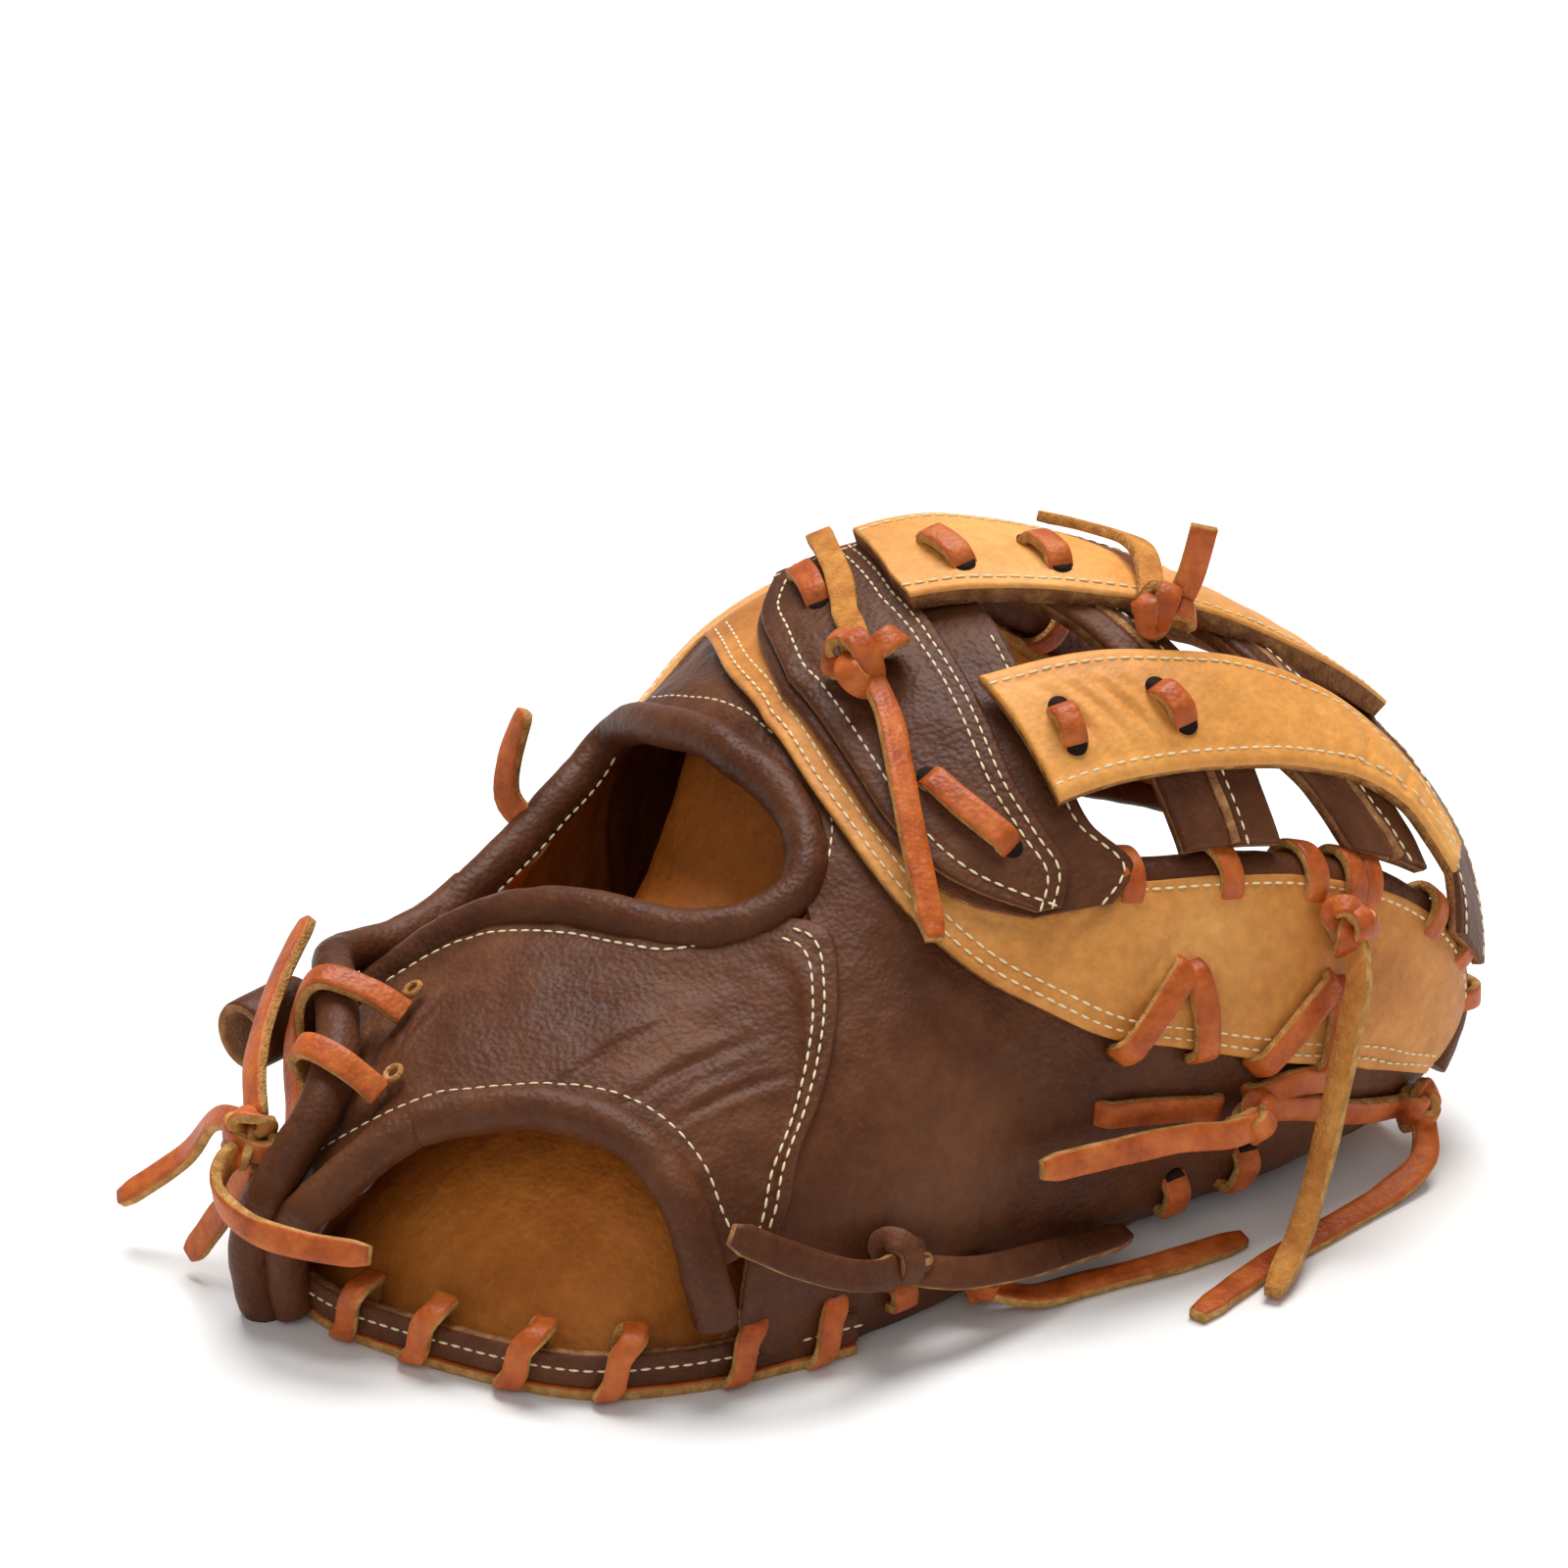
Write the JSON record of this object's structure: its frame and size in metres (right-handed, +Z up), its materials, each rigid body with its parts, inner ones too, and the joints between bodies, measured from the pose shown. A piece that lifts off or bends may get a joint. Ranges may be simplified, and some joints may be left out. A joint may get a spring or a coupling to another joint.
{
  "type": "first baseman mitt",
  "caption": "Left-hand leather first baseman mitt lying palm down, with a laced web of posts and rungs, a strap across the wrist, padded rolls and loose lace ends.",
  "frame": {"origin": "on the floor under the middle of the mitt's outline, without its free lace ends", "axes": "+X from the wrist to the finger tips, +Y to the finger side, -Y to the thumb side, +Z up through the back"},
  "size_m": [0.32, 0.2306, 0.1452],
  "materials": {
    "brown_leather": "oiled, worn",
    "tan_leather": "dry, worn",
    "lining_leather": "suede lining",
    "lace_leather": "waxed lace with raw edges",
    "thread": "waxed thread"
  },
  "bodies": {
    "root": {"palm_shell": "lining_leather", "thumb_back": "brown_leather", "wrist_strap": "brown_leather", "finger_side": "brown_leather", "finger_back": "tan_leather", "overlay_panel": "tan_leather", "web_base_panel": "brown_leather", "web_post_near": "tan_leather", "web_post_far": "tan_leather", "web_rung_thumb_1": "brown_leather", "web_rung_thumb_2": "brown_leather", "web_rung_middle_1": "brown_leather", "web_rung_middle_2": "brown_leather", "web_rung_finger_1": "brown_leather", "web_rung_finger_2": "brown_leather", "web_tip_strap": "brown_leather", "opening_roll": "brown_leather", "wrist_roll": "brown_leather", "thumb_roll": "brown_leather", "finger_roll": "brown_leather", "side_roll": "brown_leather", "heel_welt": "brown_leather", "heel_lace": "lace_leather", "thumb_lace": "lace_leather", "finger_lace": "lace_leather", "web_lace_upper": "lace_leather", "web_lace_lower": "lace_leather", "post_lace_near_1": "lace_leather", "post_lace_near_2": "lace_leather", "post_lace_far_1": "lace_leather", "post_lace_far_2": "lace_leather", "cross_lace_1": "lace_leather", "cross_lace_2": "lace_leather", "rim_lace_1": "lace_leather", "rim_lace_2": "lace_leather", "rim_lace_3": "lace_leather", "side_lace": "lace_leather", "web_knot": "lace_leather", "crown_lace": "lace_leather", "thumb_knot": "lace_leather", "rim_knot": "lace_leather", "tie_knot": "brown_leather", "wrist_knot": "lace_leather", "loop_tab": "brown_leather", "web_tail": "lace_leather", "side_tail": "lace_leather", "tip_tail": "lace_leather", "thumb_tail": "lace_leather", "tie_tail_wrist": "brown_leather", "tie_tail_tip": "brown_leather", "rim_tail": "lace_leather", "wrist_tail_up": "lace_leather", "wrist_tail_out": "lace_leather", "wrist_tail_down": "lace_leather", "wrist_tail_across": "lace_leather", "back_end": "lace_leather"}
  },
  "joints": []
}
